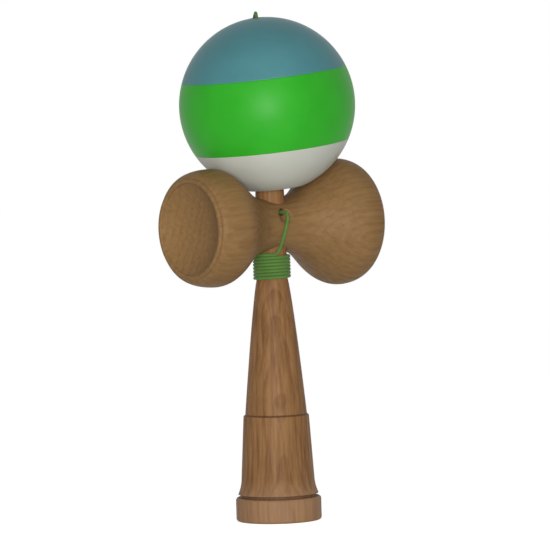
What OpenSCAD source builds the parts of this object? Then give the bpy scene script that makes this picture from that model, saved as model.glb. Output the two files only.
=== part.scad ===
// Cup and ball toy: a turned handle with a spike, a crosspiece of two cups,
// a lacquered ball that sits on the spike, and the cord that ties the ball to the crosspiece.
// The toy stands upright on its base ring. The crosspiece lies along X, small cup at -X.

/* [Base] */
// Diameter of the base ring that the toy stands on
base_d = 29.2; // [25:0.1:36]
// Height of the base ring
base_h = 8.2; // [6:0.1:12]
// Rounding of the base ring's two edges
base_edge = 1; // [0.4:0.1:1.6]
// Width of the flat rim round the base cup
base_rim = 2; // [1.2:0.1:4]
// Depth of the cup in the underside
base_cup_depth = 7; // [4:0.1:9]
// Height of the turned groove above the base ring
groove_h = 0.9; // [0.4:0.1:2]
// Depth of the turned groove
groove_depth = 0.9; // [0.3:0.1:1.5]

/* [Handle] */
// Diameter of the lower body where it meets the groove
foot_d = 27.6; // [24:0.1:29]
// How far the foot flares out past the lower body's taper
foot_flare = 1; // [0.2:0.1:2]
// Height over which the foot flares
foot_flare_h = 5; // [2:0.1:10]
// Diameter of the lower body at the step
body_top_d = 22.4; // [20:0.1:24]
// Height of the step that stops the hand
step_z = 36; // [26:0.1:44]
// Diameter of the grip just above the step
grip_d = 21.2; // [16:0.1:22]
// Diameter of the neck under the crosspiece
neck_d = 10.4; // [10.2:0.1:13]
// Height where the grip's taper reaches the neck
neck_z = 83; // [70:0.5:86]
// Bow of the grip's taper, where 1 is straight
grip_bow = 0.8; // [0.6:0.01:1.6]
// Diameter of the spike's rounded tip
spike_tip_d = 4.4; // [3:0.1:6]
// Diameter where the spike leaves the crosspiece
spike_root_d = 10; // [8:0.1:10.2]

/* [Crosspiece] */
// Height of the crosspiece's axis
cross_z = 101; // [94:0.5:112]
// From the handle's axis to each cup's rim
cross_reach = 35.5; // [32:0.1:42]
// Diameter of the waist
waist_d = 17.6; // [16:0.1:22]
// Greatest outside diameter of the small cup
small_cup_d = 40; // [34:0.1:44]
// Greatest outside diameter of the big cup
big_cup_d = 43.6; // [38:0.1:50]
// Length of the small cup's rounded shoulder
small_shoulder = 9; // [4:0.1:12]
// Length of the big cup's rounded shoulder
big_shoulder = 6; // [4:0.1:12]
// How far the shoulders draw in towards the rims
shoulder_drop = 2.8; // [1:0.1:5]
// Thickness of the cups' rounded rims
rim_t = 1.8; // [1:0.1:3]
// Depth of the small cup
small_cup_depth = 5.5; // [5:0.1:12]
// Depth of the big cup
big_cup_depth = 10; // [5:0.1:13]
// Power of the flare from the waist to the cups
flare_power = 1.35; // [1:0.01:1.8]
// Gap between the handle's seat and the crosspiece's bore
seat_gap = 0.05; // [0.02:0.01:0.2]

/* [Ball] */
// Diameter of the ball
ball_d = 60; // [54:0.1:66]
// Diameter of the bore that the spike goes into
bore_d = 18.6; // [18:0.1:25]
// Height of the bore's end above the ball's centre
bore_end = 20; // [16:0.1:22]
// Bevel of the bore's mouth
mouth_bevel = 0.6; // [0.4:0.1:2]
// Thickness of the lacquer coats
coat_t = 0.3; // [0.2:0.05:0.6]
// Gap between the wood and its coats
coat_gap = 0.02; // [0.01:0.01:0.1]
// Height of the border of blue and green above the ball's centre
blue_border = 10.7; // [4:0.1:16]
// Depth of the border of green and white below the ball's centre
white_border = 14.3; // [8:0.1:20]
// Lean of the ball on the spike, towards the small cup
ball_lean = 6.5; // [0:0.1:8]
// Gap between the ball and the crosspiece that it rests on
ball_gap = 0.3; // [0.1:0.05:1]
// Room between the spike's tip and the knot in the ball
spike_room = 3; // [1:0.1:8]

/* [Cord] */
// Diameter of the cord
cord_d = 1.1; // [0.8:0.05:1.6]
// Diameter of the holes that the cord passes through
cord_hole_d = 2.6; // [2:0.1:3.4]
// Countersink round the outer end of those holes
hole_sink = 1.4; // [0.6:0.1:2]
// Height of the crosspiece's cord hole above its axis
lead_hole_rise = 4.4; // [0:0.1:4.6]
// Turns of cord round the neck
wind_turns = 7.25; // [3.25:1:9.25]
// Height that each turn takes
wind_pitch = 1.12; // [1.1:0.01:1.6]
// Height of the pressed turns themselves
turn_h = 0.66; // [0.5:0.01:0.68]
// Gap between the winding and the wood
wind_gap = 0.15; // [0.1:0.05:0.6]
// Diameter of the bead inside the ball
bead_d = 8; // [6:0.1:10]
// Share of the bead's diameter left between its flat ends
bead_flat = 0.85; // [0.7:0.01:0.95]
// Gap from the bead to the end of the bore and to the cord in its hole
bead_gap = 0.3; // [0.1:0.05:0.6]
// Diameter of the two knots
knot_d = 3.8; // [3.6:0.1:4.4]
// Length of the two knots
knot_h = 3; // [2.5:0.1:3.4]
// Gap round the knot in the handle
knot_gap = 0.4; // [0.2:0.05:0.8]

/* [Hidden] */
$fn = 96;
overlap = 1;
wood = "#8a683f";
dark_wood = "#86643c";

// Half sizes of the turned pieces
base_r = base_d / 2;
base_cup_r = base_r - base_edge - base_rim;
foot_r = foot_d / 2;
body_top_r = body_top_d / 2;
grip_r = grip_d / 2;
neck_r = neck_d / 2;
tip_r = spike_tip_d / 2;
root_r = spike_root_d / 2;
waist_r = waist_d / 2;
ball_r = ball_d / 2;
bore_r = bore_d / 2;
cord_r = cord_d / 2;
hole_r = cord_hole_d / 2;
knot_r = knot_d / 2;
bead_h = bead_d * bead_flat;
foot_z = base_h + groove_h;
seat_low_z = cross_z - waist_r;
seat_high_z = cross_z + waist_r;

// Points of a circular arc in the plane of an outline
function arc(centre, r, from, to, steps = 5) =
    [for (i = [0:steps]) let (a = from + (to - from) * i / steps) centre + r * [cos(a), sin(a)]];

// Depth left in a round cup at a distance from its centre, from its rim radius and its depth
function cup_z(r, rim_r, depth) =
    let (round_r = (rim_r * rim_r + depth * depth) / (2 * depth))
    depth - round_r + sqrt(max(round_r * round_r - r * r, 0));

// Radius of the lower body, a straight taper that flares out at the foot
function body_r(z) =
    let (u = (step_z - z) / (step_z - foot_z), v = max(0, 1 - (z - foot_z) / foot_flare_h))
    body_top_r + (foot_r - foot_flare - body_top_r) * u + foot_flare * v * v;

// Radius of the grip, which tapers to the neck
function grip_at(z) =
    let (u = max(0, (neck_z - z) / (neck_z - step_z)))
    neck_r + (grip_r - neck_r) * pow(u, grip_bow);

// Radius of the tapered seat in the crosspiece, and of the spike's root above it
function seat_at(z) = neck_r + (root_r - neck_r) * (z - seat_low_z) / (seat_high_z - seat_low_z);

// Outside radius of the crosspiece at a distance along its axis
function cup_r(x) = (x < 0 ? small_cup_d : big_cup_d) / 2;
function shoulder(x) = x < 0 ? small_shoulder : big_shoulder;
function shoulder_x(x) = cross_reach - rim_t / 2 - shoulder(x);
function cross_r(x) =
    let (t = min(1, abs(x) / shoulder_x(x)), u = max(0, abs(x) - shoulder_x(x)) / shoulder(x))
    waist_r + (cup_r(x) - waist_r) * pow(sin(90 * pow(t, flare_power)), 2)
    - shoulder_drop * (1 - sqrt(max(0, 1 - u * u)));

// The ball rests on the crosspiece's two flares: the highest of the places where they would touch
rest_steps = 120;
ball_z = cross_z + max([for (i = [-rest_steps:rest_steps])
    let (x = 0.9 * ball_r * i / rest_steps)
    (abs(x) < cross_reach - rim_t ? cross_r(x) : 0) + sqrt(pow(ball_r + ball_gap, 2) - x * x)]);

// Heights along the ball's own axis, measured from its centre
bead_top = bore_end - bead_gap;
bead_low = bead_top - bead_h;
knot_low = bead_low - knot_h;
mouth_z = sqrt(ball_r * ball_r - bore_r * bore_r);
hole_mouth_z = sqrt(ball_r * ball_r - pow(hole_r + hole_sink, 2));
cord_joint = hole_mouth_z - hole_sink;
spike_tip_z = ball_z + knot_low * cos(ball_lean) - spike_room;

// A point on the ball's axis
function on_ball_axis(s) = [-s * sin(ball_lean), 0, ball_z + s * cos(ball_lean)];

// Knot and cord hole of the crosspiece
lead_hole_z = cross_z + lead_hole_rise;
lead_knot_y = -sqrt(pow(seat_at(lead_hole_z), 2) - knot_r * knot_r) + knot_gap / 2;

// The winding: a helix on the tapered neck, with a straight end each way
wind_start = -145;
loop_rings = 24;
wind_sides = 6;
wind_rings = wind_turns * loop_rings;
wind_r = neck_r + wind_gap + cord_r;
wind_top = cross_z - cross_r(wind_r) - wind_gap - cord_r;
wind_low = wind_top - wind_turns * wind_pitch;
wind_end = wind_start - 360 * wind_turns;

function wind_z(i) = wind_top - wind_pitch * i / loop_rings;
function wind_radius(i) = grip_at(wind_z(i)) + wind_gap + cord_r;
function wind_angle(i) = wind_start - 360 * i / loop_rings;
function wind_way(i) = [sin(wind_angle(i)), -cos(wind_angle(i)), 0];
function wind_point(i) =
    [wind_radius(i) * cos(wind_angle(i)), wind_radius(i) * sin(wind_angle(i)), wind_z(i)];
function wind_ring(i, shift) =
    let (out = [cos(wind_angle(i)), sin(wind_angle(i)), 0])
    [for (j = [0:wind_sides - 1]) let (a = 360 * j / wind_sides)
        wind_point(i) + shift * wind_way(i) + out * cord_r * cos(a)
        + [0, 0, turn_h / 2 * sin(a) / sin(60)]];

wind_sections = concat(
    [wind_ring(0, -cord_d)],
    [for (i = [0:wind_rings]) wind_ring(i, 0)],
    [wind_ring(wind_rings, cord_d)]);
lead_meets = wind_point(0) - cord_d * wind_way(0);
tail_meets = wind_point(wind_rings) + cord_d * wind_way(wind_rings);

// Least distance between the surface points of turns that lie next to each other
wind_self_gap = min([for (i = [0:len(wind_sections) - 13])
    for (k = [i + 12:min(i + 36, len(wind_sections) - 1)])
    for (p = wind_sections[i]) for (q = wind_sections[k]) norm(p - q)]);
echo(str("cord_winding: least gap to itself ", wind_self_gap, " mm"));

// Straight run of the cord where it meets the winding and the ball
straight_run = 0.6;

// Route of the cord from its knot in the handle, out of the crosspiece and down to the winding
lead_route = concat(
    [[0, lead_knot_y, lead_hole_z], [0, -6, lead_hole_z], [0, -7.2, lead_hole_z]],
    [[0, -8.45, 105.2], [-0.1, -9.25, 104.6], [-0.25, -9.7, 103.7], [-0.45, -9.8, 102.6],
     [-0.9, -9.75, 101.1], [-1.3, -9.4, 98.8], [-1.7, -8.7, 96.6], [-2, -8.2, 94.8], [-2.35, -7.6, 93.3],
     [-2.65, -6.95, 92.05], [-3.05, -6.05, 91.3]],
    [for (k = [2:-1:0]) lead_meets - k * straight_run * wind_way(0)]);

// Route of the cord from the winding, up behind the crosspiece and the ball, and into the ball's top
tail_route = concat(
    [for (k = [0:2]) tail_meets + k * straight_run * wind_way(wind_rings)],
    [[-1, 6.6, 83.05], [-0.5, 7.1, 83.45], [0.05, 7.65, 84.2], [0.45, 8.15, 85.55], [0.35, 8.35, 87.9],
     [0.25, 8.7, 91.8], [0.2, 9.2, 96.9], [0, 10.1, 102], [1.15, 13.25, 107], [4.65, 18.65, 115],
     [9.4, 23.25, 123.2], [13.8, 25.95, 131.8], [16.45, 26.3, 138.8], [16.85, 25.7, 145.95],
     [15.35, 24.65, 152.75], [13.1, 22.3, 158.95], [10.15, 18.85, 164.3], [6.7, 14.4, 168.5],
     [3.75, 10.45, 170.8], [1.32, 7.06, 172.06], [-0.38, 4.65, 172.74], [-1.55, 2.99, 173.16],
     [-2.21, 2.04, 173.3], [-2.67, 1.31, 173.1], [-3.07, 0.63, 172.55], [-3.28, 0.19, 171.77],
     [-3.32, 0.03, 171.18]],
    [for (k = [2:-1:0]) on_ball_axis(cord_joint + k * straight_run / 2)]);

tube_sides = 8;
tube_steps = 2;
// A direction that no stretch of the cord runs along, from which its rings are turned
tube_aside = [1, -0.6, -0.8];

function unit(v) = v / norm(v);

// A smooth curve through the points of a route
function route_at(p, k, t) =
    let (a = p[max(k - 1, 0)], b = p[k], c = p[k + 1], d = p[min(k + 2, len(p) - 1)])
    b + (c - a) * t / 2 + (a - 2.5 * b + 2 * c - d / 2) * t * t
    + (1.5 * b - a / 2 - 1.5 * c + d / 2) * t * t * t;
function route_line(p) =
    concat([for (k = [0:len(p) - 2]) for (j = [0:tube_steps - 1]) route_at(p, k, j / tube_steps)],
           [p[len(p) - 1]]);

function line_way(p, i) = unit(p[min(i + 1, len(p) - 1)] - p[max(i - 1, 0)]);
function tube_ring(c, way) =
    let (n = unit(cross(tube_aside, way)), b = cross(way, n))
    [for (j = [0:tube_sides - 1]) let (a = 360 * j / tube_sides) c + cord_r * (cos(a) * n + sin(a) * b)];
function tube_sections(p) = [for (i = [0:len(p) - 1]) tube_ring(p[i], line_way(p, i))];

// One closed skin of triangles over a row of rings
module skin(sections) {
    sides = len(sections[0]);
    last = (len(sections) - 1) * sides;
    walls = [for (i = [0:len(sections) - 2]) for (j = [0:sides - 1])
        let (a = i * sides + j, b = i * sides + (j + 1) % sides)
        each [[a, a + sides, b], [b, a + sides, b + sides]]];
    first_end = [for (j = [1:sides - 2]) [0, j, j + 1]];
    last_end = [for (j = [1:sides - 2]) [last, last + j + 1, last + j]];
    polyhedron([for (s = sections) each s], concat(walls, first_end, last_end));
}

// The handle is turned in one piece: base cup, base ring, lower body, grip, seat and spike
module handle() {
    cup_steps = 10;
    body_steps = 12;
    grip_steps = 18;
    spike_steps = 8;
    spike_top = spike_tip_z - tip_r;
    outline = concat(
        [for (i = [0:cup_steps]) let (r = base_cup_r * i / cup_steps)
            [r, cup_z(r, base_cup_r, base_cup_depth)]],
        arc([base_r - base_edge, base_edge], base_edge, -90, 0),
        arc([base_r - base_edge, base_h - base_edge], base_edge, 0, 90),
        [[foot_r - groove_depth, base_h], [foot_r - groove_depth, foot_z]],
        [for (i = [0:body_steps]) let (z = foot_z + (step_z - foot_z) * i / body_steps) [body_r(z), z]],
        [for (i = [0:grip_steps]) let (z = step_z + (neck_z - step_z) * i / grip_steps)
            [grip_at(z), z + (i == 0 ? (body_top_r - grip_r) / 2 : 0)]],
        [[neck_r, seat_low_z]],
        [for (i = [0:spike_steps]) let (u = i / spike_steps)
            [root_r + (tip_r - root_r) * pow(u, 1.2), seat_high_z + (spike_top - seat_high_z) * u]],
        [for (p = arc([0, spike_top], tip_r, 0, 90)) if (p[1] > spike_top) [max(p[0], 0), p[1]]]);
    color(wood)
    difference() {
        rotate_extrude()
            polygon(outline);
        translate([0, lead_knot_y + knot_h + knot_gap, lead_hole_z])
            rotate([90, 0, 0])
                cylinder(r = knot_r + knot_gap, h = neck_r + knot_h);
    }
}

// The crosspiece is turned along X, then bored for the handle and drilled for the cord
module crosspiece() {
    flare_steps = 40;
    cup_steps = 10;
    small_rim_r = cup_r(-1) - shoulder_drop - rim_t;
    big_rim_r = cup_r(1) - shoulder_drop - rim_t;
    rim_x = cross_reach - rim_t / 2;
    outline = concat(
        [for (i = [0:cup_steps]) let (r = small_rim_r * i / cup_steps)
            [r, cup_z(r, small_rim_r, small_cup_depth) - rim_x]],
        [for (i = [4:-1:1]) [small_rim_r + rim_t / 2 - rim_t / 2 * cos(36 * (5 - i)),
                             -rim_x - rim_t / 2 * sin(36 * (5 - i))]],
        [for (i = [0:flare_steps]) let (x = -rim_x + 2 * rim_x * i / flare_steps) [cross_r(x), x]],
        [for (i = [1:4]) [big_rim_r + rim_t / 2 + rim_t / 2 * cos(36 * i), rim_x + rim_t / 2 * sin(36 * i)]],
        [for (i = [cup_steps:-1:0]) let (r = big_rim_r * i / cup_steps)
            [r, rim_x - cup_z(r, big_rim_r, big_cup_depth)]]);
    color(dark_wood)
    translate([0, 0, cross_z])
    difference() {
        rotate([0, 90, 0])
            rotate_extrude()
                polygon(outline);
        translate([0, 0, -waist_r - overlap])
            cylinder(r1 = seat_at(seat_low_z - overlap) + seat_gap,
                     r2 = seat_at(seat_high_z + overlap) + seat_gap, h = waist_d + 2 * overlap);
        translate([0, 0, lead_hole_rise])
            rotate([90, 0, 0])
                cylinder(r = hole_r, h = waist_d);
        translate([0, -sqrt(waist_r * waist_r - lead_hole_rise * lead_hole_rise) + hole_sink, lead_hole_rise])
            rotate([90, 0, 0])
                cylinder(r1 = hole_r, r2 = hole_r + 2 * hole_sink, h = 2 * hole_sink);
    }
}

// Puts what is drawn round the ball's centre on the spike, at its lean
module on_spike() {
    translate([0, 0, ball_z])
        rotate([0, -ball_lean, 0])
            children();
}

// The ball's bore with its bevelled mouth, and the cord hole through its top
module ball_holes() {
    translate([0, 0, -ball_r - overlap])
        cylinder(r = bore_r, h = ball_r + overlap + bore_end);
    translate([0, 0, -mouth_z - mouth_bevel])
        cylinder(r1 = bore_r + 2 * mouth_bevel, r2 = bore_r, h = 2 * mouth_bevel);
    cylinder(r = hole_r, h = ball_r + overlap);
    translate([0, 0, cord_joint])
        cylinder(r1 = hole_r, r2 = hole_r + 2 * hole_sink, h = 2 * hole_sink);
}

module ball_core() {
    color(wood)
    on_spike()
    difference() {
        sphere(ball_r - coat_t - coat_gap);
        ball_holes();
    }
}

// A coat of lacquer between two heights along the ball's axis
module coat(low, high) {
    on_spike()
    difference() {
        intersection() {
            sphere(ball_r);
            translate([0, 0, low])
                cylinder(r = ball_r + overlap, h = high - low);
        }
        sphere(ball_r - coat_t);
        ball_holes();
    }
}

module blue_coat() {
    color("#5b939e")
    coat(blue_border, ball_r + overlap);
}

module green_coat() {
    color("#35a82c")
    coat(-white_border, blue_border);
}

module white_coat() {
    color("#b4b3a6")
    coat(-ball_r - overlap, -white_border);
}

// A round bead with flat ends, which keeps the knot from slipping through the ball
module bead() {
    color("#c9b48c")
    on_spike()
    translate([0, 0, bead_top - bead_h / 2])
    difference() {
        intersection() {
            sphere(bead_d / 2);
            cube([bead_d, bead_d, bead_h], center = true);
        }
        cylinder(r = cord_r + bead_gap, h = bead_d, center = true);
    }
}

// A tight knot: a barrel with flat ends
module knot() {
    end_r = 0.7 * knot_r;
    rotate_extrude()
        polygon(concat([[0, 0]],
            [for (i = [0:6]) let (u = i / 6) [end_r + (knot_r - end_r) * sin(180 * u), knot_h * u]],
            [[0, knot_h]]));
}

module stop_knot() {
    color("#3c7a36")
    on_spike()
    translate([0, 0, knot_low])
        knot();
}

module anchor_knot() {
    color("#3c7a36")
    translate([0, lead_knot_y, lead_hole_z])
        rotate([-90, 0, 0])
            knot();
}

module cord_lead() {
    color("#4a8a3c")
    skin(tube_sections(route_line(lead_route)));
}

module cord_winding() {
    color("#4a8a3c")
    skin(wind_sections);
}

module cord_tail() {
    color("#4a8a3c")
    skin(tube_sections(route_line(tail_route)));
}

// The cord's end runs straight through the ball's top and the bead to the knot
module cord_end() {
    color("#4a8a3c")
    on_spike()
    translate([0, 0, bead_low])
        cylinder(r = cord_r, h = cord_joint - bead_low);
}

handle();
crosspiece();
ball_core();
blue_coat();
green_coat();
white_coat();
bead();
stop_knot();
anchor_knot();
cord_lead();
cord_winding();
cord_tail();
cord_end();
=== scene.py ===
"""Cup and ball toy: turned beech handle and crosspiece, lacquered ball on the spike, and green cord.

Sizes are in millimetres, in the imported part's frame: Z goes up along the handle, X along the crosspiece
to the big cup, and -Y to the side with the cord hole. The meshes are in metres.
"""
import math

import bpy
import numpy as np
from mathutils import Matrix


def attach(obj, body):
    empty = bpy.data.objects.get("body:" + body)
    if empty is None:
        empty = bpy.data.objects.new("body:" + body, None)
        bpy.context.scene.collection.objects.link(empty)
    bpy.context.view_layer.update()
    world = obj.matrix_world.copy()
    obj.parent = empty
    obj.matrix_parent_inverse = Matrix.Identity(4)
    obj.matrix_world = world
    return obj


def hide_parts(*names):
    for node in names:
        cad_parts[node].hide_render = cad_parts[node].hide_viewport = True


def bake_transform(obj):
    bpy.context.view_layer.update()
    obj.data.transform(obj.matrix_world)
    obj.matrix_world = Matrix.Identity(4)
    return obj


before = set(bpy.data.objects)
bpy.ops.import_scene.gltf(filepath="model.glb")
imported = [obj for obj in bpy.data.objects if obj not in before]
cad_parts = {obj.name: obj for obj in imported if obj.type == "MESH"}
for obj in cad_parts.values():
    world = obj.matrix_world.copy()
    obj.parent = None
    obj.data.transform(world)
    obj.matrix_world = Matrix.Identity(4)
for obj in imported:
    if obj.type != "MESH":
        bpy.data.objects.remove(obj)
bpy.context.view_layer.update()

# Handle: one piece of beech, turned with the grain along its axis and oiled. From below it has the base
# cup and ring, a groove, the lower body, the step, the grip, the seat that the crosspiece is pushed on to,
# and the spike. A blind hole in the seat takes the cord's knot.
base_r, base_h, base_edge = 14.6, 8.2, 1.0
base_cup_r, base_cup_depth = 11.6, 7.0
foot_r, foot_z, groove_r = 13.8, 9.1, 12.9
foot_flare, foot_flare_h = 1.0, 5.0
body_top_r, step_z, step_rise = 11.2, 36.0, 0.3
grip_r, neck_r, neck_z, grip_bow = 10.6, 5.2, 83.0, 0.8
cross_z, waist_r = 101.0, 8.8
root_r, tip_r, spike_tip_z, spike_bow = 5.0, 2.2, 148.7, 1.2
knot_y, knot_z = -4.479, 105.4
pocket_r, pocket_end, pocket_reach = 2.3, -1.079, 8
edge_ease, step_ease, groove_ease = 0.3, 0.2, 0.15


def arc(centre, r, start, stop, steps=8):
    """Points of a circle round a centre, from one angle to another in degrees."""
    a = np.radians(np.linspace(start, stop, steps + 1))
    return np.asarray(centre) + r * np.column_stack([np.cos(a), np.sin(a)])


def corner(before, at, after, size, steps=6):
    """An eased corner: a quadratic curve from side to side, its ends a given size from the corner."""
    before, at, after = np.array(before), np.array(at), np.array(after)
    a = at + size * (before - at) / np.linalg.norm(before - at)
    b = at + size * (after - at) / np.linalg.norm(after - at)
    t = np.linspace(0, 1, steps + 1)[:, None]
    return (1 - t) ** 2 * a + 2 * t * (1 - t) * at + t ** 2 * b


def cup_height(r, rim_r, depth):
    """Height of a round cup over its rim's plane: the sphere through the rim and the deepest point."""
    round_r = (rim_r ** 2 + depth ** 2) / (2 * depth)
    return depth - round_r + np.sqrt(np.maximum(round_r ** 2 - r ** 2, 0))


def body_at(z):
    """Radius of the lower body: a straight taper from the step, with a quadratic flare at the foot."""
    u = (step_z - z) / (step_z - foot_z)
    v = np.maximum(0, 1 - (z - foot_z) / foot_flare_h)
    return body_top_r + (foot_r - foot_flare - body_top_r) * u + foot_flare * v ** 2


def grip_at(z):
    """Radius of the grip: it grows from the neck down by a power under 1, so it bows a little outward."""
    return neck_r + (grip_r - neck_r) * np.maximum(0, (neck_z - z) / (neck_z - step_z)) ** grip_bow


def smooth(mesh, soft_angle=35):
    """Shades a mesh smooth but for edges sharper than an angle in degrees."""
    mesh.shade_smooth()
    mesh.set_sharp_from_angle(angle=math.radians(soft_angle))


def mesh_piece(name, points, faces, soft_angle=35):
    """A smooth mesh object at the origin, from points in millimetres."""
    mesh = bpy.data.meshes.new(name)
    mesh.from_pydata((np.asarray(points) * 0.001).tolist(), [], faces)
    smooth(mesh, soft_angle)
    piece = bpy.data.objects.new(name, mesh)
    bpy.context.scene.collection.objects.link(piece)
    return piece


def ring_faces(rings, sides, closed):
    """Faces of a tube of rings, each ring joined to the next, and the last to the first if it is closed.

    An open tube is capped by a fan of faces round one point at each end. Those two points come after
    the points of the rings.
    """
    i = np.arange(rings if closed else rings - 1)[:, None]
    j = np.arange(sides)
    k, up = (j + 1) % sides, (i + 1) % rings
    quads = np.stack([i * sides + j, i * sides + k, up * sides + k, up * sides + j], -1)
    faces = quads.reshape(-1, 4).tolist()
    if not closed:
        first_cap = rings * sides
        last_ring = first_cap - sides
        faces += np.column_stack([np.full(sides, first_cap), k, j]).tolist()
        faces += np.column_stack([np.full(sides, first_cap + 1), last_ring + j, last_ring + k]).tolist()
    return faces


def turned(name, outline, turn=np.eye(3), at=(0, 0, 0), sides=192):
    """A lathe's surface: each outline point (radius, height) goes round the axis in equal steps.

    The whole is then turned and moved to its place. An outline from axis to axis is closed by one point
    at each end, and any other outline joins its last point to its first.
    """
    outline = np.asarray(outline, float)
    from_axis = outline[0, 0] == 0
    rings = outline[1:-1] if from_axis else outline
    a = np.linspace(0, 2 * np.pi, sides, endpoint=False)
    points = np.stack([np.outer(rings[:, 0], np.cos(a)), np.outer(rings[:, 0], np.sin(a)),
                       np.repeat(rings[:, 1:], sides, 1)], -1).reshape(-1, 3)
    if from_axis:
        points = np.vstack([points, [0, 0, outline[0, 1]], [0, 0, outline[-1, 1]]])
    points = points @ np.asarray(turn).T + np.asarray(at)
    return mesh_piece(name, points, ring_faces(len(rings), sides, not from_axis))


def cut(piece, *cutters):
    """Takes the cutters' shapes out of a piece: the exact Boolean, applied, with the cutters removed."""
    for cutter in cutters:
        hole = piece.modifiers.new(cutter.name, "BOOLEAN")
        hole.operation = "DIFFERENCE"
        hole.solver = "EXACT"
        hole.object = cutter
    whole = piece.data
    piece.data = bpy.data.meshes.new_from_object(piece.evaluated_get(bpy.context.evaluated_depsgraph_get()))
    piece.modifiers.clear()
    bpy.data.meshes.remove(whole)
    for cutter in cutters:
        bpy.data.meshes.remove(cutter.data)
    smooth(piece.data)


def plug(tree, made, inputs):
    """Gives a shader node its inputs, each a value or another node's output."""
    for name, value in inputs.items():
        if isinstance(value, bpy.types.NodeSocket):
            tree.links.new(value, made.inputs[name])
        else:
            made.inputs[name].default_value = value


def node(tree, kind, inputs, **settings):
    """One new shader node with its settings and its inputs."""
    made = tree.nodes.new("ShaderNode" + kind)
    for name, value in settings.items():
        setattr(made, name, value)
    plug(tree, made, inputs)
    return made


def new_material(name):
    """An empty node material, with its tree and its Principled shader already on the output."""
    material = bpy.data.materials.new(name)
    material.use_nodes = True
    tree = material.node_tree
    return material, tree, tree.nodes["Principled BSDF"]


def srgb(red, green, blue):
    """A colour read off as 0 to 255, in the linear light that the shaders work in."""
    c = np.array([red, green, blue]) / 255
    linear = np.where(c <= 0.04045, c / 12.92, ((c + 0.055) / 1.055) ** 2.4)
    return (*linear.tolist(), 1.0)


def ramp(tree, fac, stops):
    """A colour ramp through (place, grey) or (place, colour) stops."""
    made = node(tree, "ValToRGB", {"Fac": fac})
    elements = made.color_ramp.elements
    while len(elements) < len(stops):
        elements.new(0.5)
    for element, (place, colour) in zip(elements, stops):
        element.position = place
        element.color = colour if isinstance(colour, tuple) else (colour, colour, colour, 1)
    return made.outputs["Color"]


def noise(tree, vector, scale, detail, roughness=0.5, output="Fac"):
    """Soft random noise, its scale the number of features in one unit of the pattern."""
    return node(tree, "TexNoise", {"Vector": vector, "Scale": scale, "Detail": detail,
                                   "Roughness": roughness}).outputs[output]


def times_plus(tree, value, factor, more):
    """A value times a factor, plus another value."""
    return node(tree, "Math", {0: value, 1: factor, 2: more}, operation="MULTIPLY_ADD").outputs["Value"]


def carried(tree, value, low, high, at_low, at_high):
    """A value carried in a straight line from one range to another, and held at the ends."""
    return node(tree, "MapRange", {"Value": value, "From Min": low, "From Max": high, "To Min": at_low,
                                   "To Max": at_high}).outputs["Result"]


def mix(tree, fac, under, over):
    """A colour laid over another, weighted by a factor from 0 to 1."""
    return node(tree, "MixRGB", {"Fac": fac, "Color1": under, "Color2": over}).outputs["Color"]


def wave_scale(spacing):
    """Scale of a wave texture for a spacing of its waves: a full turn over 20 times the spacing."""
    return 2 * math.pi / 20 / spacing


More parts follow.
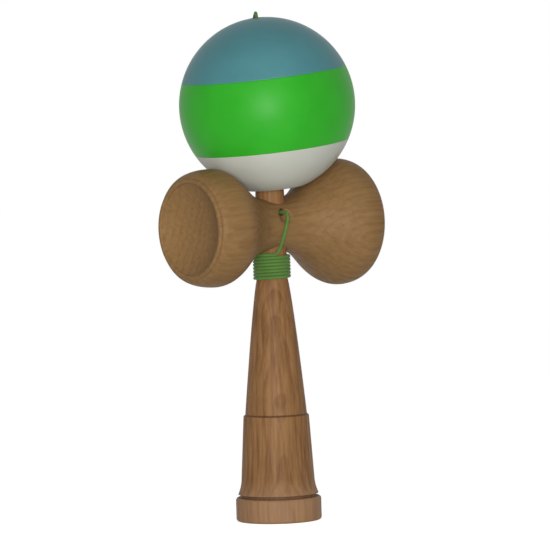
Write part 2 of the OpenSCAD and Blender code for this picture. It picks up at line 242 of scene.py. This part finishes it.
def beech(name, light, middle, dark, centre, grain=(0, 0, 0), shade_grooves=(), pale_below=0, pale=0.0):
    """Oiled beech, its grain along the pattern's Z, with the pattern in millimetres.

    Growth rings are saw-tooth steps in the warped distance from the pith. Streaks and fibres are noise
    drawn out along the grain, ray flecks are short dashes of cells drawn out the same way, and the turning
    tool's marks are fine bands along the axis. The grooves, each a height and a width, are darkened
    with painted shade, and below a height where hands rarely rub it the wood has stayed paler.
    """
    ring_width, mark_width, pale_fade = 2.6, 0.55, 8
    material, tree, shader = new_material(name)
    place = node(tree, "TexCoord", {}).outputs["Object"]
    along = node(tree, "Mapping", {"Vector": place, "Scale": (1000, 1000, 1000), "Rotation": grain,
                                   "Location": centre}).outputs["Vector"]

    def drawn_out(share):
        """The pattern with lengths along the grain counted at a share of themselves."""
        made = node(tree, "VectorMath", {0: along, 1: (1, 1, share)}, operation="MULTIPLY")
        return made.outputs["Vector"]

    warp = noise(tree, along, 0.035, 2.0, output="Color")
    pushed = node(tree, "VectorMath", {0: warp, 1: (9, 9, 0), 2: along}, operation="MULTIPLY_ADD")
    rings = node(tree, "TexWave", {"Vector": pushed.outputs["Vector"], "Scale": wave_scale(ring_width),
                                   "Distortion": 0.6, "Detail": 2.0, "Detail Scale": 0.3},
                 wave_type="RINGS", rings_direction="Z", wave_profile="SAW").outputs["Fac"]
    rings = ramp(tree, rings, [(0, 0.3), (0.55, 0.42), (0.88, 0.75), (1, 0.3)])
    streaks = noise(tree, drawn_out(1 / 26), 0.75, 4.0, 0.6)
    fibres = noise(tree, drawn_out(1 / 14), 3.2, 2.0, 0.6)
    blotches = noise(tree, along, 0.05, 2.0)
    tone = times_plus(tree, rings, 0.36, -0.26)
    for pattern, weight in ((streaks, 0.95), (fibres, 0.22), (blotches, 0.35)):
        tone = times_plus(tree, pattern, weight, tone)
    colour = ramp(tree, tone, [(0.3, light), (0.6, middle), (0.9, dark)])
    cells = node(tree, "TexVoronoi", {"Vector": drawn_out(0.22), "Scale": 0.8}).outputs["Distance"]
    flecks = carried(tree, cells, 0.08, 0.2, 0.3, 0.0)
    colour = mix(tree, flecks, colour, dark)
    height = node(tree, "SeparateXYZ", {"Vector": along}).outputs["Z"]
    fresh = carried(tree, height, pale_below - pale_fade, pale_below, pale, 0.0)
    colour = mix(tree, fresh, colour, srgb(186, 152, 122))
    for groove_z, groove_w in shade_grooves:
        away = node(tree, "Math", {0: height, 1: groove_z}, operation="SUBTRACT").outputs["Value"]
        away = node(tree, "Math", {0: away}, operation="ABSOLUTE").outputs["Value"]
        # Painted shade: the colour darkens towards each groove's middle, where shade falls in it.
        groove_shade = carried(tree, away, 0.45 * groove_w, 0.75 * groove_w, 0.6, 0.0)
        colour = mix(tree, groove_shade, colour, srgb(62, 36, 22))
    marks = node(tree, "TexWave", {"Vector": along, "Scale": wave_scale(mark_width), "Distortion": 1.2,
                                   "Detail": 2.0, "Detail Scale": 0.4}, bands_direction="Z").outputs["Fac"]
    relief = times_plus(tree, marks, 0.12, fibres)
    relief = times_plus(tree, flecks, -0.8, relief)
    bump = node(tree, "Bump", {"Height": relief, "Strength": 0.35, "Distance": 0.0001}).outputs["Normal"]
    gloss = carried(tree, streaks, 0.3, 0.7, 0.5, 0.62)
    plug(tree, shader, {"Base Color": colour, "Roughness": gloss, "Normal": bump,
                        "Specular IOR Level": 0.14})
    return material


cup_r = np.linspace(0, base_cup_r - edge_ease, 28)
in_cup = (base_cup_r - 1, cup_height(base_cup_r - 1, base_cup_r, base_cup_depth))
body_z = np.linspace(foot_z + 0.5, step_z - 0.4, 44)
grip_z = np.linspace(step_z + 0.8, neck_z, 60)
seat_z = np.linspace(neck_z + 0.8, cross_z - waist_r, 8)
spike_u = np.linspace(0, 1, 40)
spike_root, spike_top = cross_z + waist_r, spike_tip_z - tip_r
step_foot = (grip_r, step_z + step_rise)
handle_outline = np.vstack([
    np.column_stack([cup_r, cup_height(cup_r, base_cup_r, base_cup_depth)]),
    corner(in_cup, (base_cup_r, 0), (base_r - base_edge, 0), edge_ease),
    arc((base_r - base_edge, base_edge), base_edge, -90, 0),
    arc((base_r - base_edge, base_h - base_edge), base_edge, 0, 90),
    [(groove_r + groove_ease, base_h), (groove_r, base_h + groove_ease)],
    [(groove_r, foot_z - groove_ease), (groove_r + groove_ease, foot_z)],
    corner((groove_r, foot_z), (foot_r, foot_z), (body_at(body_z[0]), body_z[0]), edge_ease),
    np.column_stack([body_at(body_z), body_z]),
    corner((body_at(body_z[-1]), body_z[-1]), (body_top_r, step_z), step_foot, edge_ease),
    corner((body_top_r, step_z), step_foot, (grip_at(grip_z[0]), grip_z[0]), step_ease),
    np.column_stack([grip_at(grip_z), grip_z]),
    np.column_stack([np.full_like(seat_z, neck_r), seat_z]),
    np.column_stack([root_r + (tip_r - root_r) * spike_u ** spike_bow,
                     spike_root + (spike_top - spike_root) * spike_u]),
    arc((0, spike_top), tip_r, 0, 90, 12)[1:]])
handle = turned("handle_turned", handle_outline)
to_front = np.array([[1, 0, 0], [0, 0, -1], [0, 1, 0]])
pocket_outline = [(0, 0), (pocket_r, 0), (pocket_r, pocket_reach), (0, pocket_reach)]
cut(handle, turned("pocket", pocket_outline, to_front, (0, pocket_end, knot_z), 48))
# Bands of painted shade: the groove above the foot and the corner under the step are darkened where shade
# falls.
shaded_groove_bands = [((base_h + foot_z) / 2, foot_z - base_h), (step_z + step_rise, 0.5)]
handle_beech = beech("handle_beech", srgb(161, 121, 80), srgb(142, 103, 65), srgb(112, 76, 45),
                     (7.5, 16, 0), shade_grooves=shaded_groove_bands, pale_below=15, pale=0.3)
handle.data.materials.append(handle_beech)
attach(handle, "handle")
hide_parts("handle")

# Crosspiece: beech, turned along its own axis with a cup hollowed in each end, then bored across for the
# handle's taper and drilled for the cord. Friction on the taper holds it.
cross_reach, rim_t, shoulder_drop, flare_power = 35.5, 1.8, 2.8, 1.35
small_cup_r, small_shoulder, small_depth = 20.0, 9.0, 5.5
big_cup_r, big_shoulder, big_depth = 21.8, 6.0, 10.0
rim_x = cross_reach - rim_t / 2
seat_gap, seat_half = 0.05, 9.6
hole_r, hole_sink, hole_start, sink_reach = 1.3, 1.4, 1, 3


def cross_at(x):
    """Outside radius of the crosspiece: a squared sine from waist to cup, then an ellipse in to the rim."""
    cup_radius = np.where(x < 0, small_cup_r, big_cup_r)
    shoulder = np.where(x < 0, small_shoulder, big_shoulder)
    t = np.minimum(1, np.abs(x) / (rim_x - shoulder))
    u = np.clip((np.abs(x) - rim_x + shoulder) / shoulder, 0, 1)
    flare = np.sin(np.pi / 2 * t ** flare_power) ** 2
    return waist_r + (cup_radius - waist_r) * flare - shoulder_drop * (1 - np.sqrt(1 - u ** 2))


small_r = np.linspace(0, small_cup_r - shoulder_drop - rim_t, 40)
big_r = np.linspace(0, big_cup_r - shoulder_drop - rim_t, 40)
outside_x = -rim_x * np.cos(np.linspace(0, np.pi, 150))
small_rim = arc((small_r[-1] + rim_t / 2, -rim_x), rim_t / 2, -180, 0, 14)
big_rim = arc((big_r[-1] + rim_t / 2, rim_x), rim_t / 2, 0, 180, 14)
cross_outline = np.vstack([
    np.column_stack([small_r, cup_height(small_r, small_r[-1], small_depth) - rim_x])[:-1],
    small_rim,
    np.column_stack([cross_at(outside_x), outside_x])[1:-1],
    big_rim,
    np.column_stack([big_r, rim_x - cup_height(big_r, big_r[-1], big_depth)])[-2::-1]])
along_x = np.array([[0, 0, 1], [1, 0, 0], [0, 1, 0]])
crosspiece = turned("crosspiece_turned", cross_outline, along_x, (0, 0, cross_z), 224)
seat_outline = [(0, -seat_half), (neck_r + seat_gap, -seat_half),
                (root_r + seat_gap, seat_half), (0, seat_half)]
bore = turned("bore", seat_outline, at=(0, 0, cross_z), sides=96)
sink_y = math.sqrt(waist_r ** 2 - (knot_z - cross_z) ** 2) - hole_sink
hole_outline = [(0, hole_start), (hole_r, hole_start), (hole_r, sink_y),
                (hole_r + sink_reach, sink_y + sink_reach), (0, sink_y + sink_reach)]
cord_hole = turned("cord_hole", hole_outline, to_front, (0, 0, knot_z), 64)
cut(crosspiece, bore, cord_hole)
cross_beech = beech("crosspiece_beech", srgb(147, 114, 75), srgb(138, 106, 67), srgb(125, 94, 58),
                    (cross_z - 12, 19, 0), grain=(0, -math.pi / 2, 0))
crosspiece.data.materials.append(cross_beech)
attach(crosspiece, "handle")
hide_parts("crosspiece")

# Ball: a wooden ball, turned, bored from below for the spike and drilled through the top for the cord.
# It leans a little on the spike. Its bare wood shows only in the bore.
ball_r, ball_z, ball_lean = 30.0, 141.864, math.radians(6.5)
coat_t, coat_gap = 0.3, 0.02
bore_r, bore_end, bore_round, mouth_bevel = 9.3, 20.0, 1.5, 0.6
hole_bevel = 0.4
cord_joint = math.sqrt(ball_r ** 2 - (hole_r + hole_sink) ** 2) - hole_sink
mouth_z = math.sqrt(ball_r ** 2 - bore_r ** 2) - mouth_bevel
hole_cone, mouth_cone = cord_joint - hole_r, mouth_z - bore_r
lean = np.array([[math.cos(ball_lean), 0, -math.sin(ball_lean)],
                 [0, 1, 0],
                 [math.sin(ball_lean), 0, math.cos(ball_lean)]])
on_spike = (0, 0, ball_z)


def ball_axis(s):
    """Points on the ball's axis at distances from its centre."""
    return np.asarray(s)[..., None] * lean[:, 2] + np.array(on_spike)


def cone_meets(r, cone_end):
    """Where a circle round the ball's centre meets a countersink at 45 degrees, as (radius, height)."""
    height = (cone_end + math.sqrt(2 * r ** 2 - cone_end ** 2)) / 2
    return height - cone_end, height


def angle_of(point):
    """Angle of an outline point above the ball's equator, in degrees."""
    return math.degrees(math.atan2(point[1], point[0]))


core_r = ball_r - coat_t - coat_gap
core_top = cone_meets(core_r, hole_cone)
core_mouth = cone_meets(core_r, mouth_cone)
core_low = (core_mouth[0], -core_mouth[1])
bore_z = np.linspace(bore_end - 2 * bore_round, 1 - mouth_z, 12)
core_outline = np.vstack([
    [(hole_r, cord_joint), (hole_r, bore_end + hole_bevel), (hole_r + hole_bevel, bore_end)],
    corner((hole_r, bore_end), (bore_r, bore_end), (bore_r, 0), bore_round),
    np.column_stack([np.full_like(bore_z, bore_r), bore_z]),
    corner((bore_r, 0), (bore_r, -mouth_z), core_low, edge_ease),
    arc((0, 0), core_r, angle_of(core_low), angle_of(core_top), 120)])
ball_core = turned("ball_turned", core_outline, lean, on_spike, 128)
ball_beech = beech("ball_beech", srgb(176, 142, 104), srgb(160, 124, 86), srgb(128, 94, 62), (5, 9, 0),
                   grain=(0, ball_lean, 0))
ball_core.data.materials.append(ball_beech)
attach(ball_core, "ball")
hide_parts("ball_core")

# Lacquer: three sprayed coats on the ball, blue over the top, a green band and white below, masked to
# crisp borders. Each is a thin skin with a satin finish.
blue_border, white_border = 10.7, -14.3
edge_drop, edge_angle = 0.03, 0.12


def coat_outline(low, high, open_low, open_high):
    """A skin's outline: the outside circle between two heights and the inside circle back, edges eased.

    An open end is cut by the countersink of the hole there and the other ends are cut flat, at the border.
    """
    def end_angle(r, height, cone_end):
        """Angle at which a circle reaches the cut at one end of the skin."""
        if cone_end is None:
            return angle_of((math.sqrt(r ** 2 - height ** 2), height))
        radius, up = cone_meets(r, cone_end)
        return angle_of((radius, math.copysign(up, height)))

    inner_r, edge_r = ball_r - coat_t, ball_r - edge_drop
    low_out, high_out = end_angle(ball_r, low, open_low), end_angle(ball_r, high, open_high)
    low_in, high_in = end_angle(inner_r, low, open_low), end_angle(inner_r, high, open_high)
    low_edge, high_edge = low_out + edge_angle / 4, high_out - edge_angle / 4
    return np.vstack([
        arc((0, 0), edge_r, low_edge, low_edge, 0),
        arc((0, 0), ball_r, low_out + edge_angle, high_out - edge_angle, 90),
        arc((0, 0), edge_r, high_edge, high_edge, 0),
        arc((0, 0), inner_r, high_in, low_in, 45)])


def lacquer(name, colour, deep):
    """Satin lacquer: a faint cloudiness in the colour, a soft waviness from spraying and specks of dust."""
    material, tree, shader = new_material(name)
    place = node(tree, "TexCoord", {}).outputs["Object"]
    clouds = noise(tree, place, 60, 4.0, 0.55)
    body = ramp(tree, clouds, [(0.3, deep), (0.7, colour)])
    cells = node(tree, "TexVoronoi", {"Vector": place, "Scale": 420}).outputs["Distance"]
    dust = carried(tree, cells, 0.05, 0.13, 1.0, 0.0)
    waves = noise(tree, place, 700, 2.0)
    relief = times_plus(tree, dust, 0.5, waves)
    bump = node(tree, "Bump", {"Height": relief, "Strength": 0.12, "Distance": 0.0001}).outputs["Normal"]
    gloss = carried(tree, clouds, 0.3, 0.7, 0.38, 0.48)
    plug(tree, shader, {"Base Color": body, "Roughness": gloss, "Normal": bump,
                        "Specular IOR Level": 0.17})
    return material


coats = [("blue", blue_border, ball_r, None, hole_cone, srgb(80, 136, 142), srgb(70, 126, 133)),
         ("green", white_border, blue_border, None, None, srgb(52, 172, 40), srgb(42, 161, 32)),
         ("white", -ball_r, white_border, mouth_cone, None, srgb(200, 202, 191), srgb(192, 193, 181))]
for colour_name, low, high, open_low, open_high, colour, deep in coats:
    skin = coat_outline(low, high, open_low, open_high)
    coat = turned(colour_name + "_sprayed", skin, lean, on_spike, 256)
    coat.data.materials.append(lacquer(colour_name + "_satin", colour, deep))
    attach(coat, "ball")
    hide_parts(colour_name + "_coat")

# Bead: a small wooden bead inside the ball, threaded on the cord. It bears on the bore's end and keeps
# the knot from slipping through the ball's top.
bead_r, bead_half, bead_hole_r, bead_gap = 4.0, 3.4, 0.85, 0.3
bead_ease, bead_edge, bead_edge_angle = 0.25, 0.15, 4
bead_top = bore_end - bead_gap
bead_low = bead_top - 2 * bead_half
flat_r = math.sqrt(bead_r ** 2 - bead_half ** 2)
side_angle = angle_of((flat_r, bead_half)) - bead_edge_angle
bead_outline = np.vstack([
    corner((bead_hole_r, 0), (bead_hole_r, -bead_half), (flat_r, -bead_half), bead_ease),
    [(flat_r - bead_edge, -bead_half)],
    arc((0, 0), bead_r, -side_angle, side_angle, 40),
    [(flat_r - bead_edge, bead_half)],
    corner((flat_r, bead_half), (bead_hole_r, bead_half), (bead_hole_r, 0), bead_ease)])
bead = turned("bead_turned", bead_outline, lean, ball_axis(bead_top - bead_half), 96)
bead_beech = beech("bead_beech", srgb(198, 170, 128), srgb(182, 152, 110), srgb(150, 118, 80),
                   (1.5, 2.5, 0))
bead.data.materials.append(bead_beech)
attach(bead, "bead")
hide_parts("bead")

# Cord: one braided polyester cord, eight strands, 1.1 mm thick. From a knot in the handle it comes out of
# the crosspiece, winds round the neck, goes up behind the ball and through its top and bead to a knot.
cord_r, cord_step, straight_run = 0.55, 0.18, 0.6
braid_lay, braid_strands, braid_low, braid_rise = 3.6, 4, 0.93, 0.09
wind_top, wind_pitch, wind_turns, wind_gap, wind_start = 91.0531, 1.12, 7.25, 0.15, -145


def wind_point(turns):
    """The winding's helix down the neck: clockwise from above, resting on the tapering wood."""
    a = np.radians(wind_start - 360 * turns)
    z = wind_top - wind_pitch * turns
    r = grip_at(z) + wind_gap + cord_r
    return np.stack([r * np.cos(a), r * np.sin(a), z], -1)


def wind_way(turns):
    """The level direction in which the winding runs."""
    a = np.radians(wind_start - 360 * turns)
    return np.stack([np.sin(a), -np.cos(a), 0 * a], -1)


def route(points, steps=12):
    """The smooth cubic through a route's points, along its neighbours' chord at each point."""
    p = np.vstack([points[:1], points, points[-1:]])
    a, b, c, d = p[:-3, None], p[1:-2, None], p[2:-1, None], p[3:, None]
    t = np.linspace(0, 1, steps, endpoint=False)[:, None]
    bend = a - 2.5 * b + 2 * c - d / 2
    turn_in = 1.5 * b - a / 2 - 1.5 * c + d / 2
    curve = b + (c - a) * t / 2 + bend * t ** 2 + turn_in * t ** 3
    return np.vstack([curve.reshape(-1, 3), points[-1:]])


def even(points, step):
    """The same line with its points an even distance apart, and each point's distance along it."""
    length = np.concatenate([[0], np.cumsum(np.linalg.norm(np.diff(points, axis=0), axis=1))])
    at = np.linspace(0, length[-1], int(length[-1] / step) + 1)
    return np.column_stack([np.interp(at, length, points[:, k]) for k in range(3)]), at


def braid(angle, s):
    """Height of a braid from 0 to 1: two sets of strands wind opposite ways, over and under in turn."""
    one = np.sin(np.pi * braid_strands * (angle / (2 * np.pi) + s / braid_lay))
    other = np.sin(np.pi * braid_strands * (angle / (2 * np.pi) - s / braid_lay))
    over = 0.35 * np.clip(3 * one * other, -1, 1)
    return np.maximum(np.abs(one) * (0.65 + over), np.abs(other) * (0.65 - over))


def braided(name, line, s, sides=24, closed=False):
    """A braided tube: round each point of the line a ring square to it, its radius raised by the braid.

    The rings are turned from a fixed direction that no stretch of the line runs along.
    """
    if closed:
        way = np.roll(line, -1, 0) - np.roll(line, 1, 0)
    else:
        way = np.vstack([line[1:], line[-1:]]) - np.vstack([line[:1], line[:-1]])
    way /= np.linalg.norm(way, axis=1)[:, None]
    side = np.cross([1, -0.6, -0.8], way)
    side /= np.linalg.norm(side, axis=1)[:, None]
    rise = np.cross(way, side)
    a = np.linspace(0, 2 * np.pi, sides, endpoint=False)
    strand = braid(a[None, :], s[:, None])
    r = cord_r * (braid_low + braid_rise * strand)
    outward = np.cos(a)[:, None] * side[:, None] + np.sin(a)[:, None] * rise[:, None]
    points = (line[:, None] + r[..., None] * outward).reshape(-1, 3)
    strand = strand.ravel()
    if not closed:
        points = np.vstack([points, line[0], line[-1]])
        strand = np.append(strand, [0.5, 0.5])
    piece = mesh_piece(name, points, ring_faces(len(line), sides, closed), 75)
    heights = piece.data.attributes.new("strand", "FLOAT", "POINT")
    heights.data.foreach_set("value", strand.astype(np.float32))
    return piece


def polyester():
    """Braided polyester: painted shade where the strands dip under, a fine fuzz of filaments and a soft
    sheen.
    """
    material, tree, shader = new_material("green_polyester")
    place = node(tree, "TexCoord", {}).outputs["Object"]
    strand = node(tree, "Attribute", {}, attribute_name="strand").outputs["Fac"]
    fuzz = noise(tree, place, 6000, 3.0)
    fade = noise(tree, place, 220, 2.0)
    # Painted shade: the colour darkens with the braid's height, so the dips between strands are dark.
    tone = times_plus(tree, fuzz, 0.35, strand)
    tone = times_plus(tree, fade, 0.4, tone)
    colour = ramp(tree, tone, [(0.35, srgb(34, 56, 18)), (0.8, srgb(70, 107, 40)), (1, srgb(88, 131, 54))])
    relief = times_plus(tree, strand, 1.5, fuzz)
    bump = node(tree, "Bump", {"Height": relief, "Strength": 0.5, "Distance": 0.00005}).outputs["Normal"]
    plug(tree, shader, {"Base Color": colour, "Normal": bump, "Roughness": 0.7, "Specular IOR Level": 0.3,
                        "Sheen Weight": 0.15, "Sheen Roughness": 0.4})
    return material


run = straight_run * np.arange(3)[:, None]
lead_way, tail_way = wind_way(0), wind_way(wind_turns)
lead_meets = wind_point(0) - 2 * cord_r * lead_way
tail_meets = wind_point(wind_turns) + 2 * cord_r * tail_way
lead_points = np.vstack([
    [(0, knot_y, knot_z), (0, -6, knot_z), (0, -7.2, knot_z), (0, -8.45, 105.2), (-0.1, -9.25, 104.6),
     (-0.25, -9.7, 103.7), (-0.45, -9.8, 102.6), (-0.9, -9.75, 101.1), (-1.3, -9.4, 98.8),
     (-1.7, -8.7, 96.6), (-2, -8.2, 94.8), (-2.35, -7.6, 93.3), (-2.65, -6.95, 92.05),
     (-3.05, -6.05, 91.3)],
    lead_meets - run[::-1] * lead_way])
tail_points = np.vstack([
    tail_meets + run * tail_way,
    [(-1, 6.6, 83.05), (-0.5, 7.1, 83.45), (0.05, 7.65, 84.2), (0.45, 8.15, 85.55), (0.35, 8.35, 87.9),
     (0.25, 8.7, 91.8), (0.2, 9.2, 96.9), (0, 10.1, 102), (1.15, 13.25, 107), (4.65, 18.65, 115),
     (9.4, 23.25, 123.2), (13.8, 25.95, 131.8), (16.45, 26.3, 138.8), (16.85, 25.7, 145.95),
     (15.35, 24.65, 152.75), (13.1, 22.3, 158.95), (10.15, 18.85, 164.3), (6.7, 14.4, 168.5),
     (3.75, 10.45, 170.8), (1.32, 7.06, 172.06), (-0.38, 4.65, 172.74), (-1.55, 2.99, 173.16),
     (-2.21, 2.04, 173.3), (-2.67, 1.31, 173.1), (-3.07, 0.63, 172.55), (-3.28, 0.19, 171.77),
     (-3.32, 0.03, 171.18)],
    ball_axis(cord_joint + run[::-1, 0] / 2)])
cord_line, cord_s = even(np.vstack([
    route(lead_points),
    wind_point(np.linspace(0, wind_turns, 800)),
    route(tail_points),
    ball_axis([bead_low])]), cord_step)
cord = braided("cord_braided", cord_line, cord_s)
cord_finish = polyester()
cord.data.materials.append(cord_finish)
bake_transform(cord)
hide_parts("cord_lead", "cord_winding", "cord_tail", "cord_end")

# Knots: the cord's two ends, each tied in a tight overhand knot. One sits in the handle's blind hole
# and the other under the bead.
knot_half, knot_ring, knot_sway, knot_rise = 1.5, 0.84, 0.5, 0.94


def overhand(middle, turn):
    """The overhand knot's line: a loop that goes twice round while it passes three times over and under."""
    t = np.linspace(0, 2 * np.pi, 160, endpoint=False)
    r = knot_ring + knot_sway * np.cos(3 * t)
    loop = np.column_stack([r * np.cos(2 * t), r * np.sin(2 * t), knot_rise * np.sin(3 * t)])
    return loop @ np.asarray(turn).T + middle


knots = [("anchor_knot", "handle", np.array([0, knot_y + knot_half, knot_z]), to_front),
         ("stop_knot", "bead", ball_axis(bead_low - knot_half), lean)]
for knot_name, body, middle, turn in knots:
    knot_line = overhand(middle, turn)
    around = np.linalg.norm(np.roll(knot_line, -1, 0) - knot_line, axis=1)
    whole_lays = round(around.sum() / braid_lay) * braid_lay
    knot_s = np.concatenate([[0], np.cumsum(around)[:-1]]) * whole_lays / around.sum()
    knot = braided(knot_name + "_tied", knot_line, knot_s, closed=True)
    knot.data.materials.append(cord_finish)
    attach(knot, body)
    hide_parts(knot_name)

# Floor: a plain white sheet that the toy stands on. It shows white, with the toy's soft shadow.
floor_half = 3000
floor_corners = floor_half * np.array([(-1, -1, 0), (1, -1, 0), (1, 1, 0), (-1, 1, 0)])
floor = mesh_piece("floor", floor_corners, [(0, 1, 2, 3)])


def seen_rays(tree):
    """1 for rays that the eye follows, straight, in gloss or through glass, and 0 for those of light."""
    path = node(tree, "LightPath", {}).outputs
    seen = node(tree, "Math", {0: path["Is Camera Ray"], 1: path["Is Glossy Ray"]}, operation="MAXIMUM")
    return node(tree, "Math", {0: seen.outputs["Value"], 1: path["Is Transmission Ray"]},
                operation="MAXIMUM").outputs["Value"]


floor_paper, tree, shader = new_material("floor_paper")
tree.nodes.remove(shader)
plain = node(tree, "BsdfDiffuse", {"Color": (0.75, 0.75, 0.75, 1)}).outputs["BSDF"]
shaded = node(tree, "BsdfDiffuse", {"Color": (0.95, 0.95, 0.95, 1)}).outputs["BSDF"]
glow = node(tree, "Emission", {"Color": (1, 1, 1, 1), "Strength": 0.79}).outputs["Emission"]
white = node(tree, "AddShader", {0: shaded, 1: glow}).outputs["Shader"]
sheet = node(tree, "MixShader", {0: seen_rays(tree), 1: plain, 2: white}).outputs["Shader"]
plug(tree, tree.nodes["Material Output"], {"Surface": sheet})
floor.data.materials.append(floor_paper)

# Light: an even room, white behind the toy, and a broad soft lamp in front of it, on the camera's side
# and a little above the toy's middle.
lamp_azimuth, lamp_elevation, lamp_away = math.radians(-39), math.radians(4), 900
toy_middle = np.array([0, 0, 90])


def placed(name, data, right, up, back, at):
    """A lamp or a camera at a point in millimetres, turned so that it looks away from its back."""
    stand = bpy.data.objects.new(name, data)
    bpy.context.scene.collection.objects.link(stand)
    turn = np.eye(4)
    turn[:3] = np.column_stack([right, up, back, at * 0.001])
    stand.matrix_world = Matrix(turn.tolist())
    return stand


world = bpy.data.worlds.new("room")
bpy.context.scene.world = world
world.use_nodes = True
tree = world.node_tree
room_light = carried(tree, seen_rays(tree), 0.0, 1.0, 0.22, 1.0)
plug(tree, tree.nodes["Background"], {"Color": (1, 1, 1, 1), "Strength": room_light})
lamp = bpy.data.lights.new("front_lamp", "AREA")
lamp.size = 0.28
lamp.energy = 6.2
lamp_right = np.array([math.cos(lamp_azimuth), math.sin(lamp_azimuth), 0])
lamp_back = np.array([math.sin(lamp_azimuth) * math.cos(lamp_elevation),
                      -math.cos(lamp_azimuth) * math.cos(lamp_elevation),
                      math.sin(lamp_elevation)])
placed("front_lamp", lamp, lamp_right, np.cross(lamp_back, lamp_right), lamp_back,
       toy_middle + lamp_back * lamp_away)

# Camera: at the photograph's viewpoint, 1.4 m from the toy, well round to the small cup's side and a
# little above the crosspiece. It looks down by 2.6 degrees and is tipped by 1.7 degrees.
camera_azimuth, camera_away, camera_height = math.radians(-39), 1409.4, 149.0
pan, tilt, tip = 0.00071, -0.04617, math.radians(-1.678)
focal_px, picture_px, sensor = 4134.6, 550, 36
level = np.array([math.cos(camera_azimuth), math.sin(camera_azimuth), 0])
inward = np.array([-math.sin(camera_azimuth), math.cos(camera_azimuth), 0])
look = inward * math.cos(tilt) + np.array([0, 0, math.sin(tilt)])
look = look * math.cos(pan) + level * math.sin(pan)
level = np.cross(look, [0, 0, 1])
level /= np.linalg.norm(level)
upward = np.cross(level, look)
lens = bpy.data.cameras.new("camera")
lens.sensor_width = sensor
lens.lens = focal_px / picture_px * sensor
lens.clip_start = 0.01
bpy.context.scene.camera = placed("camera", lens, math.cos(tip) * level + math.sin(tip) * upward,
                                  math.cos(tip) * upward - math.sin(tip) * level, -look,
                                  np.array([0, 0, camera_height]) - inward * camera_away)
bpy.context.scene.view_settings.view_transform = "Standard"
